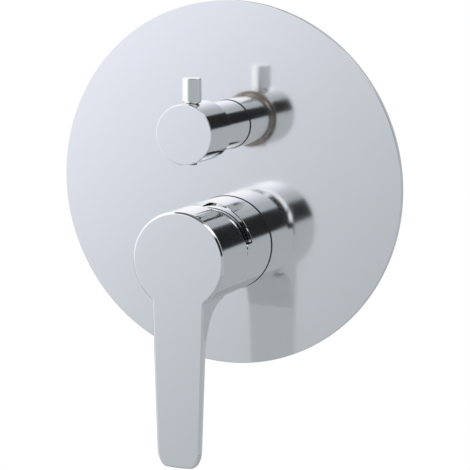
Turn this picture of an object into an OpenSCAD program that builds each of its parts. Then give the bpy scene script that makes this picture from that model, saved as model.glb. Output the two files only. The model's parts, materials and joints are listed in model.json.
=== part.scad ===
// Concealed single-lever shower mixer with a two-way diverter.
// Every piece is drawn in the face frame (x to the right, y up, z out of the wall towards the user)
// and mounted() turns that frame upright. Lengths in millimetres.

/* [Layout] */
// Height of the diverter's axis above the mixer's axis
axis_gap = 58.8; // [56:0.2:66]
// Plate's front face, out from the plane of the fixing lugs
plate_front = 54; // [52:1:70]

/* [Wall plate] */
// Diameter of the round wall plate
plate_d = 180; // [172:1:220]
// Sheet thickness of the plate
plate_t = 1.4; // [1:0.1:2]
// Depth of the turned-back rim, from the front face
rim_depth = 2.6; // [2.2:0.1:4]
// Depth of the two drawn collars behind the plate
collar_depth = 6.5; // [6:0.1:7]
// Wall of the drawn collars
collar_t = 1.2; // [0.8:0.1:1.6]
// Thickness of the foam seal behind the plate
seal_t = 4.4; // [3:0.1:6]
// Width of the foam seal
seal_w = 6; // [4:0.5:9]

/* [Lever handle] */
// How far the hub stands out over the skirt under it, all round
hub_overhang = 0.05; // [0:0.05:0.3]
// Front face of the hub, out from the plate
hub_front = 59.4; // [57:0.2:66]
// Wall of the hollow hub
hub_wall = 2; // [1.6:0.1:2.4]
// Thickness of the hub's front wall
hub_face_t = 5.4; // [4:0.2:6]
// Height above the axis at which the rear edge starts to be relieved
relief_start = 5.8; // [4:0.2:8]
// Slope of the relieved rear edge, in degrees
relief_angle = 19.5; // [18:0.5:22]
// Reach of the lever below the axis
lever_reach = 100; // [80:0.5:120]
// Width of the lever where it leaves the hub
lever_root_w = 26.6; // [22:0.2:28]
// Width of the lever just above its tip
lever_tip_w = 22.4; // [16:0.2:26]
// Width of the two rounded corners at the tip
lever_corner_w = 5; // [3:0.5:8]
// Height of the two rounded corners at the tip
lever_corner_h = 9.4; // [4:0.2:14]
// Rise of the slightly curved tip, from its middle to the corners
lever_tip_rise = 0.3; // [0.1:0.1:1.5]
// Radius of the fillets between hub and lever
lever_fillet_r = 2.5; // [1.5:0.1:4]
// Thickness of the lever where the rear sweep ends
lever_root_t = 4.3; // [3.6:0.1:6]
// Thickness of the lever at its tip
lever_tip_t = 3.3; // [2.6:0.1:3.6]
// Height of the rear sweep, measured down from the hub's underside
sweep_drop = 24.5; // [18:0.5:30]
// Depth of the rear sweep, from where it leaves the hub to the lever
sweep_depth = 19.2; // [14:0.2:22]
// Bevel round the hub's front edge
hub_bevel = 0.9; // [0.3:0.1:1.2]

/* [Turning cap] */
// Diameter of the skirt under the handle, which the round hub follows
skirt_d = 46.8; // [46.5:0.1:51.8]
// Front edge of the skirt below the notch, out from the plate
skirt_front = 30.4; // [29:0.1:31]
// Floor of the notch at the top, out from the plate
notch_floor = 23; // [22.6:0.1:25]
// Half the angle that the notch spans, in degrees
notch_half_angle = 78; // [60:1:85]
// Width of the rim that is left along the notch's floor
notch_rim_w = 0.6; // [0.4:0.1:1]
// Depth of the gutter between that rim and the dome
gutter_depth = 1.9; // [1:0.1:2.4]
// Radius of the dome round the tilting axis
dome_r = 20.8; // [20.6:0.1:21]

/* [Cartridge] */
// Diameter of the cartridge
cartridge_d = 35; // [34.6:0.1:35.2]
// Tilting axis of the lever, out from the plate
pivot_out = 28.5; // [28:0.1:29.5]
// Distance from the tilting axis to the ball that pushes the disc
finger_length = 14.2; // [13.8:0.1:14.3]
// Side of the square stem
stem_side = 8; // [7:0.2:9]
// Diameter of the pin that the stem tilts on
pin_d = 3; // [2.4:0.2:4]
// Diameter of the sliding ceramic disc
moving_disc_d = 24; // [20:0.5:25]
// Thickness of each ceramic disc
disc_t = 3; // [2.4:0.1:3.2]
// How far the lever lifts, in degrees
lift_max = 20; // [16:1:20]

/* [Diverter] */
// Diameter of the knob
knob_d = 28.6; // [26:0.1:34]
// Rear face of the knob, out from the plate
knob_rear = 28.4; // [28:0.1:34]
// Front face of the knob, out from the plate
knob_front = 51.9; // [50:0.1:60]
// Diameter of the sleeve behind the knob
div_sleeve_d = 24; // [23.6:0.1:25.4]
// Diameter of the pin that turns the knob
grip_d = 9.1; // [6:0.1:10]
// Middle of the pin, out from the plate
grip_out = 42.5; // [39:0.1:44]
// Top of the pin above the knob's axis
grip_reach = 26; // [20:0.2:30]
// Diameter of the diverter's spindle
spindle_d = 8; // [7:0.2:9]

/* [Pipe connections] */
// Bore of the pipe threads
port_bore_d = 18.6; // [18:0.1:19]
// Length of the pipe threads
port_length = 14; // [12:0.5:16]
// Outside diameter of the pipe bosses
port_boss_d = 26; // [25:0.5:30]
// Distance from the mixer's axis to the mouth of each inlet
inlet_reach = 50; // [47:0.5:58]
// Distance from the nearer axis to the mouth of each outlet
outlet_reach = 35; // [34:0.5:44]
// Pipe axes, out from the fixing lugs
pipe_out = 24; // [22:0.5:27]

/* [Fixing lugs] */
// Distance between the two fixing holes
lug_gap = 76; // [70:1:90]
// Diameter of the fixing holes
lug_hole_d = 5.5; // [4.5:0.1:6.5]
// Thickness of the lugs
lug_t = 5; // [4:0.2:7]
// Width of the lugs
lug_w = 16; // [13:0.5:20]

/* [Clearances] */
// Radial clearance of the running fits
run_gap = 0.06; // [0.02:0.01:0.1]
// Radial clearance of pieces pushed over one another
slip_gap = 0.1; // [0.05:0.01:0.15]
// Visible gap between moving pieces
seam_gap = 0.3; // [0.25:0.05:0.4]
// Thickness of the black rings between the plate and the skirt and sleeve
ring_t = 0.6; // [0.4:0.05:0.8]

/* [Hidden] */
$fn = 96;
// Overlap that keeps a cut clean, and the size of a block that cuts right through
cut = 1;
block = 60;
mixer_up = -axis_gap / 2;
diverter_up = axis_gap / 2;

// Levels, out from the fixing lugs, where P is the plate's front face
P = plate_front;
pivot = P + pivot_out;
seat = P + 2;
tower_wall = 1.9;
tower_r = cartridge_d / 2 + tower_wall;
root_r = 21;
root_top = P + 1.6;
hub_d = skirt_d + 2 * hub_overhang;
hub_r = hub_d / 2;
hub_rear = skirt_front + seam_gap;
hub_bore_r = hub_r - hub_wall;
cavity_top = P + hub_front - hub_face_t;
cap_rear = ring_t + slip_gap;

// Cartridge stack, from the seat outwards
base_t = 3.5;
base_top = seat + base_t;
fixed_top = base_top + disc_t;
moving_top = fixed_top + disc_t;
ball_out = pivot - finger_length;
driver_over_ball = 2;
driver_top = ball_out + driver_over_ball;
flange_bottom = driver_top + seam_gap;
flange_t = 2.6;
flange_top = flange_bottom + flange_t;
shoulder_t = 2.4;
shoulder = flange_top + slip_gap + shoulder_t;
nut_h = 5;
key_w = 3.2;
tower_top = shoulder + nut_h;
dome_rise = 7.5;
neck_top = pivot + dome_rise;
housing_wall = 1.8;
housing_bore_r = cartridge_d / 2 - housing_wall;
carrier_r = housing_bore_r - run_gap;
neck_step = 5.5;
neck_r = cartridge_d / 2 - neck_step;
flat_depth = 0.7;
flat_x = neck_r - flat_depth;
flat_h = 3.2;
neck_wall = 2.4;
disc_travel = finger_length * sin(lift_max);
disc_shift = disc_travel / 2;
ball_r = 2.6;
ball_gap = 0.25;
finger_r = 1.9;
// half the side of the slot that the stem tilts in, and the rails that guide the disc
slot_low = neck_r - 2.5;
slot_high = neck_r - 3;
rail_x = neck_r - 3;
rail_t = 1.5;
rail_w = 10;
rail_h = 1.8;
rail_gap = 0.15;
// ports through base and disc: two below the middle and one above, all as far from it
way_r = 3.8;
disc_port_r = way_r - 0.4;
port_wall = 1.58;
port_far = housing_bore_r - slip_gap - disc_port_r - port_wall;
port_up = port_far / sqrt(1.25);
seal_ring_t = 1.5;
seal_ring_h = 1.4;
mixing_wall = 4.5;
mixing_r = moving_disc_d / 2 - mixing_wall;

// Handle
boss_r = 8.2;
// the stem ends in the hub's face wall, in a square socket
stem_in_face = 4;
stem_end = cavity_top - stem_in_face;
stem_foot = 4;
boss_h = 9;
boss_rear = stem_end - boss_h;
screw_out = boss_rear + 3;
screw_r = 2.1;
screw_l = 6;
hex_r = 1.25;
plug_r = 2.6;
plug_depth = 1.6;
plug_room = 0.4;
arm_rear = hub_front - lever_root_t - sweep_depth;

// Diverter
div_tower_r = 11;
div_bore_r = 9;
div_depth = 24;
div_floor = P - div_depth;
div_tower_h = 6;
div_tower_top = P + div_tower_h;
div_disc_t = 3;
div_port_r = 3;
div_port_y = 4.6;
turning_port_r = 2.8;
turning_port_x = 4.4;
bonnet_in = 4;
bonnet_rear = P - bonnet_in;
bonnet_out = 25;
bonnet_top = P + bonnet_out;
bonnet_flange_h = 6;
bonnet_flat_x = div_tower_r - 1.4;
bonnet_neck_r = 7;
bonnet_oring_r = 0.85;
bonnet_oring_out = bonnet_rear + 3.2;
sleeve_in_r = div_tower_r + slip_gap;
sleeve_face_t = 2;
spindle_r = spindle_d / 2;
spindle_foot_t = 3;
spindle_oring_r = 0.45;
spindle_oring_out = P + 5;
clip_t = 1;
clip_rear = bonnet_top + run_gap;
clip_w = 1.6;
clip_in = 0.5;
knob_r = knob_d / 2;
knob_recess = 3;
knob_rim = 3;
knob_bevel = 0.5;
socket_depth = 17;
flat_cut = 0.8;
flat_half = 4;
grub_r = 2.45;
grub_proud = 0.7;
shank_r = 2.5;
shank_in = 1.4;

// O-rings round the towers, which hold the plate
oring_r = 1;
div_oring_r = 0.8;
groove_in = 5;
groove_out = P - groove_in;
mixer_hole_r = root_r + oring_r / 2;
diverter_hole_r = div_tower_r + 0.6;
// how far the black rings stand out of the seams, and stay clear inside
ring_proud = 0.15;

// Placing helpers
module mounted() rotate([90, 0, 0]) children();
module at_mixer() mounted() translate([0, mixer_up, 0]) children();
module at_diverter() mounted() translate([0, diverter_up, 0]) children();

// A rod along the axis, between two levels
module rod(r, from, to) translate([0, 0, from]) cylinder(r = r, h = to - from);

// A tube along the axis, between two levels
module tube(r, bore, from, to) difference() {
    rod(r, from, to);
    rod(bore, from - cut, to + cut);
}

// A ring of round section
module oring(r, section_r, level) translate([0, 0, level])
    rotate_extrude() translate([r, 0]) circle(r = section_r, $fn = 24);

// Rods across the axis: to the right from a point, and upwards from a point
module across(r, x, y, level, length) translate([x, y, level])
    rotate([0, 90, 0]) cylinder(r = r, h = length);
module upright(r, x, y, level, length) translate([x, y, level])
    rotate([-90, 0, 0]) cylinder(r = r, h = length);

// Everything between two levels that lies beyond x on one side
module beyond(side, x, from, to) translate([side > 0 ? x : -x - block, -block / 2, from])
    cube([block, block, to - from]);

// Points of an arc
function arc(cx, cy, r, a0, a1, n) =
    [for (i = [0 : n]) let (a = a0 + (a1 - a0) * i / n) [cx + r * cos(a), cy + r * sin(a)]];
function mirrored(points) = [for (i = [len(points) - 1 : -1 : 0]) [-points[i][0], points[i][1]]];

// Valve body: one brass casting with two towers, four pipe bosses and two lugs
wall_t = 3;
feed_r = 4.5;
feed_out = P - 14.2;
bath_out = 17;
floor_out = 9;
foot_bevel = 5;
inlet_way_r = 5;
outlet_way_r = 8;
// where the channels and the pipe bosses start, from the axis that they leave
inner_end = 4;
boss_start = port_boss_d / 2 + 1.5;
web_w = 18;
bracket_screw_x = 6.3;
bracket_screw_r = 1.6;
bracket_screw_end = 12;
screw_head_r = 1.8 * bracket_screw_r;
screw_head_seat = 2.4;
slot_width = 0.6;

module body_outside() {
    translate([0, mixer_up, 0]) {
        rotate_extrude() polygon([[0, floor_out], [root_r - foot_bevel, floor_out],
            [root_r, floor_out + foot_bevel], [root_r, root_top], [tower_r + 1, root_top],
            [tower_r, root_top + 1], [tower_r, tower_top - 1],
            [tower_r - 1, tower_top], [0, tower_top]]);
        for (side = [-1, 1]) across(port_boss_d / 2, side > 0 ? boss_start : -inlet_reach, 0,
            pipe_out, inlet_reach - boss_start);
        upright(port_boss_d / 2, 0, -outlet_reach, pipe_out, outlet_reach - boss_start);
    }
    translate([0, diverter_up, 0]) {
        rotate_extrude() polygon([[0, floor_out], [div_bore_r + 1, floor_out],
            [div_bore_r + wall_t + 2, floor_out + 4],
            [div_bore_r + wall_t + 2, P - collar_depth - 3.5],
            [div_tower_r, P - collar_depth - 0.5],
            [div_tower_r, div_tower_top], [0, div_tower_top]]);
        upright(port_boss_d / 2, 0, inner_end, pipe_out, outlet_reach - inner_end);
    }
    // feed from mixer to diverter, and bath channel behind it
    upright(feed_r + wall_t - 0.4, 0, mixer_up + inner_end, feed_out, axis_gap - 2 * inner_end);
    upright(feed_r + wall_t, 0, mixer_up - outlet_reach / 2, bath_out,
        axis_gap + outlet_reach / 2 - inner_end);
    // web that the bracket is screwed to
    translate([-web_w / 2, 1 - lug_w / 2, lug_t]) cube([web_w, lug_w - 2, pipe_out - 2 - lug_t]);
}

module body_ways() {
    translate([0, mixer_up, 0]) {
        rod(cartridge_d / 2 + slip_gap, seat, tower_top + cut);
        for (side = [-1, 1]) {
            across(port_bore_d / 2, side > 0 ? inlet_reach - port_length : -inlet_reach - cut, 0,
                pipe_out, port_length + cut);
            across(inlet_way_r, side > 0 ? port_up - cut : -inlet_reach, 0, pipe_out,
                inlet_reach - port_up + cut);
            translate([side * port_up, -port_up / 2, 0]) rod(way_r, pipe_out, seat + cut);
        }
        translate([0, port_up, 0]) rod(way_r, feed_out, seat + cut);
        upright(feed_r, 0, port_up - 2, feed_out, axis_gap - port_up);
        upright(port_bore_d / 2, 0, -outlet_reach - cut, pipe_out, port_length + cut);
        upright(outlet_way_r, 0, -outlet_reach, pipe_out, port_length + 4);
        upright(feed_r, 0, -outlet_reach + port_length, bath_out,
            outlet_reach - port_length + axis_gap - inner_end);
    }
    translate([0, diverter_up, 0]) {
        rod(div_bore_r + slip_gap, div_floor, div_tower_top + cut);
        translate([0, div_port_y, 0]) rod(div_port_r + 0.2, pipe_out, div_floor + cut);
        translate([0, -div_port_y, 0]) rod(div_port_r + 0.2, bath_out, div_floor + cut);
        upright(inlet_way_r, 0, div_port_y, pipe_out, outlet_reach - port_length);
        upright(port_bore_d / 2, 0, outlet_reach - port_length, pipe_out, port_length + cut);
    }
    for (side = [-1, 1]) translate([side * bracket_screw_x, 0, 0])
        rod(bracket_screw_r, lug_t - cut, bracket_screw_end + 0.5);
    translate([0, mixer_up, 0]) tube(root_r + cut, root_r - 1.5 * oring_r,
        groove_out - 1.3 * oring_r, groove_out + 1.3 * oring_r);
    translate([0, diverter_up, 0]) tube(div_tower_r + cut, div_tower_r + 0.6 - 2 * div_oring_r,
        groove_out - 1.3 * div_oring_r, groove_out + 1.3 * div_oring_r);
}

module valve_body() color("goldenrod") mounted() difference() {
    body_outside();
    body_ways();
}

// Fixing bracket: a flat bar with a lug at each end, screwed to the back of the body
module fixing_bracket() color("silver") mounted() difference() {
    union() {
        translate([-lug_gap / 2, 0.5 - lug_w / 2, 0]) cube([lug_gap, lug_w - 1, lug_t]);
        for (side = [-1, 1]) translate([side * lug_gap / 2, 0, 0]) cylinder(d = lug_w, h = lug_t);
    }
    for (side = [-1, 1]) {
        translate([side * lug_gap / 2, 0, 0]) rod(lug_hole_d / 2, -cut, lug_t + cut);
        translate([side * bracket_screw_x, 0, 0]) rod(bracket_screw_r, -cut, lug_t + cut);
        translate([side * bracket_screw_x, 0, 0]) rod(screw_head_r, -cut, screw_head_seat);
    }
}

module bracket_screws() color("silver") mounted() for (side = [-1, 1])
    translate([side * bracket_screw_x, 0, 0]) difference() {
        union() {
            rod(bracket_screw_r, screw_head_seat, bracket_screw_end);
            rod(screw_head_r - slip_gap, seam_gap, screw_head_seat);
        }
        translate([-slot_width / 2, -2, -cut]) cube([slot_width, 4, cut + screw_head_seat / 2]);
    }

// Wall plate: a thin polished disc with a turned-back rim and two collars
module wall_plate() color("lightsteelblue") mounted() difference() {
    union() {
        rod(plate_d / 2, P - plate_t, P);
        tube(plate_d / 2, plate_d / 2 - plate_t, P - rim_depth, P);
        translate([0, mixer_up, 0]) rod(mixer_hole_r + collar_t, P - collar_depth, P);
        translate([0, diverter_up, 0]) rod(diverter_hole_r + collar_t, P - collar_depth, P);
    }
    translate([0, mixer_up, 0]) rod(mixer_hole_r, P - collar_depth - cut, P + cut);
    translate([0, diverter_up, 0]) rod(diverter_hole_r, P - collar_depth - cut, P + cut);
}

module plate_seal() color("dimgray") mounted()
    tube(plate_d / 2 - plate_t - 1, plate_d / 2 - plate_t - 1 - seal_w, P - plate_t - seal_t,
        P - plate_t);

module mixer_plate_oring() color("black") at_mixer()
    oring(mixer_hole_r - oring_r, oring_r, groove_out);

module diverter_plate_oring() color("black") at_diverter()
    oring(diverter_hole_r - div_oring_r, div_oring_r, groove_out);

// Black rings in the seams between the plate and the skirt and sleeve
module cap_ring() color("black") at_mixer()
    tube(skirt_d / 2 + ring_proud, mixer_hole_r + ring_proud, P, P + ring_t);

module sleeve_ring() color("black") at_diverter()
    tube(div_sleeve_d / 2 + ring_proud, sleeve_in_r, P, P + ring_t);

// Cartridge, from its seat outwards
module at_ports() {
    for (side = [-1, 1]) translate([side * port_up, -port_up / 2, 0]) children();
    translate([0, port_up, 0]) children();
}

module cartridge_base() color("ivory") at_mixer() difference() {
    rod(cartridge_d / 2, seat, base_top);
    at_ports() rod(way_r, seat - cut, base_top + cut);
    // face grooves of the three seals
    at_ports() rod(way_r + seal_ring_t + slip_gap, seat - cut, seat + seal_ring_h);
}

module base_seals() color("black") at_mixer() at_ports()
    tube(way_r + seal_ring_t, way_r, seat, seat + seal_ring_h);

module fixed_disc() color("whitesmoke") at_mixer() difference() {
    rod(housing_bore_r - slip_gap, base_top, fixed_top);
    at_ports() rod(disc_port_r, base_top - cut, fixed_top + cut);
}

module moving_disc() color("whitesmoke") at_mixer() translate([0, disc_shift, 0]) difference() {
    rod(moving_disc_d / 2, fixed_top, moving_top);
    // hollow in the underside that mixes the two streams
    translate([0, 1, 0]) rod(mixing_r, fixed_top - cut, fixed_top + disc_t / 2);
}

module disc_driver() color("white") at_mixer() difference() {
    union() {
        translate([0, disc_shift, 0]) rod(moving_disc_d / 2, moving_top, driver_top);
        for (side = [-1, 1])
            translate([side * rail_x - rail_t / 2, disc_shift - rail_w / 2, driver_top - cut])
                cube([rail_t, rail_w, rail_h + cut]);
    }
    rod(ball_r + ball_gap, ball_out - ball_r - ball_gap, driver_top + cut);
}

module cartridge_housing() color("gray") at_mixer() difference() {
    union() {
        rod(cartridge_d / 2, base_top, shoulder);
        rod(neck_r + neck_wall, shoulder - cut, shoulder + 4);
    }
    rod(housing_bore_r, base_top - cut, flange_top + slip_gap);
    rod(neck_r + run_gap, base_top, shoulder + 4 + cut);
}

// Ring nut that holds the cartridge down; hexagonal recess for the key
module cartridge_nut() color("darkgoldenrod") at_mixer() difference() {
    rod(cartridge_d / 2, shoulder, shoulder + nut_h);
    rod(neck_r + neck_wall + slip_gap, shoulder - cut, shoulder + nut_h + cut);
    for (turn = [0 : 60 : 120]) rotate([0, 0, turn])
        translate([-cartridge_d, -key_w / 2, shoulder + nut_h - 1.6])
            cube([2 * cartridge_d, key_w, 3]);
}

module cartridge_carrier() color("slategray") at_mixer() difference() {
    union() {
        rod(carrier_r, flange_bottom, flange_top);
        rod(neck_r, flange_bottom, neck_top);
    }
    // slot that the stem tilts in
    slot_w = stem_side + 2 * seam_gap;
    translate([-slot_w / 2, -slot_low, flange_bottom - cut])
        cube([slot_w, slot_low + slot_high, neck_top - flange_bottom + 2 * cut]);
    // grooves that guide the disc driver
    groove_l = rail_w + 2 * disc_shift + 2;
    for (side = [-1, 1])
        translate([side * rail_x - rail_t / 2 - rail_gap, -groove_l / 2, flange_bottom - cut])
            cube([rail_t + 2 * rail_gap, groove_l, rail_h - seam_gap + 0.5 + cut]);
    across(pin_d / 2, -neck_r - cut, 0, pivot, 2 * neck_r + 2 * cut);
    // flats that the turning cap is keyed to
    for (side = [-1, 1]) beyond(side, flat_x, neck_top - flat_h, neck_top + cut);
}

module stem_pin() color("silver") at_mixer()
    across(pin_d / 2, -flat_x, 0, pivot, 2 * flat_x);

module cartridge_stem() color("silver") at_mixer() difference() {
    union() {
        translate([-stem_side / 2, -stem_side / 2, pivot - stem_foot])
            cube([stem_side, stem_side, stem_end - pivot + stem_foot]);
        rod(finger_r, ball_out, pivot);
        translate([0, 0, ball_out]) sphere(r = ball_r, $fn = 48);
    }
    across(pin_d / 2 + run_gap, -stem_side, 0, pivot, 2 * stem_side);
}

// Turning cap: the skirt under the handle and the dome inside it, in one plated piece
cap_in_r = root_r + 0.7;
cap_step = 7;
dome_foot = skirt_front + 0.4;
roof_out = pivot_out + dome_rise - flat_h;
roof_r = dome_r - 3.6;
lip_depth = 1.2;
function dome_width(level) = sqrt(dome_r * dome_r - pow(level - pivot_out, 2));

module turning_cap() color("gainsboro") at_mixer() {
    cap_shell();
    // two keys that fit the carrier's flats
    intersection() {
        rod(neck_r + 0.6, neck_top - flat_h + slip_gap, neck_top);
        for (side = [-1, 1]) beyond(side, flat_x + slip_gap, P, neck_top + cut);
    }
}

// Wedge that the notch spans
module notch_wedge() linear_extrude(P + skirt_front + 2 * cut) polygon([[0, 0],
    [block * sin(notch_half_angle), block * cos(notch_half_angle)], [block, block],
    [-block, block], [-block * sin(notch_half_angle), block * cos(notch_half_angle)]]);

module cap_shell() difference() {
    translate([0, 0, P]) rotate_extrude() polygon(concat(
        [[cap_in_r, cap_rear], [skirt_d / 2 - 0.3, cap_rear], [skirt_d / 2, cap_rear + 0.3],
            [skirt_d / 2, skirt_front - 0.2], [skirt_d / 2 - 0.2, skirt_front],
            [dome_width(skirt_front), skirt_front]],
        [for (i = [0 : 8]) let (h = dome_foot + (pivot_out + dome_rise - dome_foot) * i / 8)
            [dome_width(h), h]],
        [[neck_r + slip_gap, pivot_out + dome_rise], [neck_r + slip_gap, roof_out],
            [roof_r, roof_out], [tower_r + run_gap, tower_top - P + 0.4],
            [tower_r + run_gap, cap_step + 1], [cap_in_r, cap_step]]));
    // notch at the top, and the slope that clears the hub as the lever lifts
    intersection() {
        tube(skirt_d, dome_r, P + notch_floor, P + skirt_front + cut);
        union() {
            notch_wedge();
            translate([-block / 2, 0, P + skirt_front]) rotate([-lift_max, 0, 0])
                cube([block, block, block / 3]);
        }
    }
    // gutter between the notch's rim and the dome
    intersection() {
        tube(skirt_d / 2 - notch_rim_w, dome_r, P + notch_floor - gutter_depth,
            P + notch_floor + cut);
        notch_wedge();
    }
    // lip of the skirt that stands clear of the dome
    tube(hub_bore_r - slip_gap, dome_r, P + skirt_front - lip_depth, P + skirt_front + cut);
}

// Lever handle: hollow hub, tapered lever and the sweep behind it
fillet_x = lever_root_w / 2 + lever_fillet_r;
fillet_y = -sqrt(pow(hub_r + lever_fillet_r, 2) - fillet_x * fillet_x);
fillet_dir = atan2(-fillet_y, -fillet_x);
corner_x = lever_tip_w / 2 - lever_corner_w;

// Half of the lever's outline, from the hub down its right side to the middle of the tip
function lever_half() = concat(
    [[0, 0], [fillet_x * hub_r / (hub_r + lever_fillet_r) - 2,
        fillet_y * hub_r / (hub_r + lever_fillet_r) + 3]],
    arc(fillet_x, fillet_y, lever_fillet_r, fillet_dir, 180, 6),
    [for (i = [0 : 10]) let (a = -9 * i) [corner_x + lever_corner_w * cos(a),
        lever_corner_h - lever_reach + lever_tip_rise + lever_corner_h * sin(a)]],
    [for (i = [1 : 4]) [corner_x * (1 - i / 4),
        -lever_reach + lever_tip_rise * pow(1 - i / 4, 2)]]);

function sweep() = [for (i = [0 : 12]) let (a = 90 - 90 * i / 12)
    [arm_rear + sweep_depth * cos(a), fillet_y - sweep_drop + sweep_drop * sin(a)]];

module lever_arm() intersection() {
    linear_extrude(P + hub_front) polygon(concat(lever_half(), mirrored(lever_half())));
    // side profile, drawn with its first axis outwards and its second upwards
    translate([-hub_r, 0, P]) rotate([0, -90, 0]) mirror([0, 0, 1]) linear_extrude(2 * hub_r)
        polygon(concat([[hub_front, 0], [arm_rear, 0]], sweep(),
            [[hub_front - lever_tip_t, -lever_reach - cut], [hub_front, -lever_reach - cut]]));
}

module lever_handle() color("silver") at_mixer() difference() {
    union() {
        difference() {
            union() {
                translate([0, 0, P]) rotate_extrude() polygon([[0, hub_rear], [hub_r - 0.2, hub_rear],
                    [hub_r, hub_rear + 0.2], [hub_r, hub_front - hub_bevel],
                    [hub_r - hub_bevel, hub_front], [0, hub_front]]);
                lever_arm();
            }
            rod(hub_bore_r, P, cavity_top);
        }
        rod(boss_r, boss_rear, cavity_top + cut);
    }
    // relieved rear edge at the top
    translate([-block / 2, relief_start, P + hub_rear]) rotate([relief_angle, 0, 0])
        translate([0, 0, -block]) cube(block);
    // square socket of the stem
    socket = stem_side + slip_gap;
    translate([-socket / 2, -socket / 2, boss_rear - cut])
        cube([socket, socket, stem_end + 2 * slip_gap - boss_rear + cut]);
    // grub screw and its plug
    upright(screw_r, 0, -hub_r - cut, screw_out, hub_r);
    upright(plug_r, 0, -hub_r - 3, screw_out, 3 + plug_depth + plug_room);
}

module handle_grub_screw() color("dimgray") at_mixer() difference() {
    upright(screw_r, 0, -stem_side / 2 - slip_gap / 2 - screw_l, screw_out, screw_l);
    translate([0, -stem_side / 2 - screw_l, screw_out]) rotate([90, 0, 0])
        cylinder(r = hex_r, h = screw_l, $fn = 6, center = true);
}

module handle_screw_plug() color("lightgray") at_mixer() intersection() {
    upright(plug_r, 0, -hub_r - cut, screw_out, cut + plug_depth + plug_room);
    rod(hub_r - 0.05, P, P + hub_front);
}

// Diverter
module diverter_fixed_disc() color("whitesmoke") at_diverter() difference() {
    rod(div_bore_r, div_floor, div_floor + div_disc_t);
    for (side = [-1, 1]) translate([0, side * div_port_y, 0])
        rod(div_port_r, div_floor - cut, div_floor + div_disc_t + cut);
}

turning_disc_rear = div_floor + div_disc_t;
spindle_foot = turning_disc_rear + div_disc_t;

// Half-round port that opens one way or the other
module diverter_turning_disc() color("whitesmoke") at_diverter() difference() {
    rod(div_bore_r - seam_gap, turning_disc_rear, spindle_foot);
    translate([turning_port_x, 0, 0])
        rod(turning_port_r, turning_disc_rear - cut, spindle_foot + cut);
}

module diverter_bonnet() color("goldenrod") at_diverter() difference() {
    union() {
        rod(div_bore_r, bonnet_rear, div_tower_top);
        rod(div_tower_r, div_tower_top, div_tower_top + bonnet_flange_h);
        rod(bonnet_neck_r, div_tower_top, bonnet_top);
    }
    rod(spindle_r + run_gap, bonnet_rear - cut, bonnet_top + cut);
    tube(div_bore_r + cut, div_bore_r - 1.8, bonnet_oring_out - 1.2, bonnet_oring_out + 1.2);
    // flats for the spanner
    for (side = [-1, 1])
        beyond(side, bonnet_flat_x, div_tower_top + 1, div_tower_top + bonnet_flange_h + cut);
}

module bonnet_oring() color("black") at_diverter()
    oring(div_bore_r - 0.9, bonnet_oring_r, bonnet_oring_out);

module diverter_sleeve() color("gainsboro") at_diverter() difference() {
    rod(div_sleeve_d / 2, P + ring_t, P + knob_rear - seam_gap);
    rod(sleeve_in_r, P, P + knob_rear - seam_gap - sleeve_face_t);
    rod(bonnet_neck_r + slip_gap, P, P + knob_rear + cut);
}

module diverter_spindle() color("goldenrod") at_diverter() difference() {
    union() {
        rod(div_bore_r - seam_gap, spindle_foot, spindle_foot + spindle_foot_t);
        rod(spindle_r, spindle_foot, P + knob_rear + socket_depth);
    }
    translate([turning_port_x, 0, 0])
        rod(turning_port_r, spindle_foot - cut, spindle_foot + spindle_foot_t + cut);
    tube(spindle_r + cut, spindle_r - 2 * spindle_oring_r, spindle_oring_out - cut,
        spindle_oring_out + cut);
    tube(spindle_r + cut, spindle_r - clip_in, clip_rear, clip_rear + clip_t);
    // flat for the grub screw
    translate([-spindle_r - cut, flat_cut - spindle_r - block, P + grip_out - flat_half])
        cube([2 * spindle_r + 2 * cut, block, 2 * flat_half]);
}

module spindle_oring() color("black") at_diverter()
    oring(spindle_r - 0.4, spindle_oring_r, spindle_oring_out);

module spindle_clip() color("silver") at_diverter() difference() {
    tube(spindle_r + clip_w, spindle_r - clip_in, clip_rear, clip_rear + clip_t);
    translate([-clip_w, 0, bonnet_top]) cube([2 * clip_w, block, 2 * clip_t]);
}

module diverter_knob() color("gainsboro") at_diverter() difference() {
    translate([0, 0, P]) rotate_extrude() polygon([[0, knob_rear], [knob_r - 0.3, knob_rear],
        [knob_r, knob_rear + 0.3], [knob_r, knob_front - knob_bevel],
        [knob_r - knob_bevel, knob_front], [0, knob_front]]);
    rod(spindle_r + slip_gap / 2, P, P + knob_rear + socket_depth + 0.2);
    // recess in the rear face
    tube(knob_r - knob_rim, spindle_r + 2.4, P + knob_rear - cut, P + knob_rear + knob_recess);
    upright(shank_r + slip_gap, 0, spindle_r + shank_in - 0.4, P + grip_out, knob_r);
    upright(grub_r, 0, -knob_r - cut, P + grip_out, knob_r);
}

// Round pin that the fingers push, with a threaded shank in the knob
module diverter_pin() color("gainsboro") at_diverter() translate([0, 0, P + grip_out])
    rotate([-90, 0, 0]) {
        rotate_extrude() polygon([[0, spindle_r + shank_in], [shank_r, spindle_r + shank_in],
            [shank_r, knob_r], [grip_d / 2 - 0.3, knob_r], [grip_d / 2, knob_r + 0.3],
            [grip_d / 2, grip_reach - knob_bevel], [grip_d / 2 - knob_bevel, grip_reach],
            [0, grip_reach]]);
    }

module diverter_grub_screw() color("dimgray") at_diverter() difference() {
    upright(grub_r, 0, -knob_r - grub_proud, P + grip_out,
        knob_r + grub_proud - spindle_r + flat_cut - slip_gap);
    translate([0, -knob_r, P + grip_out]) rotate([90, 0, 0])
        cylinder(r = hex_r + 0.15, h = 2 * grub_r, $fn = 6, center = true);
}

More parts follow.
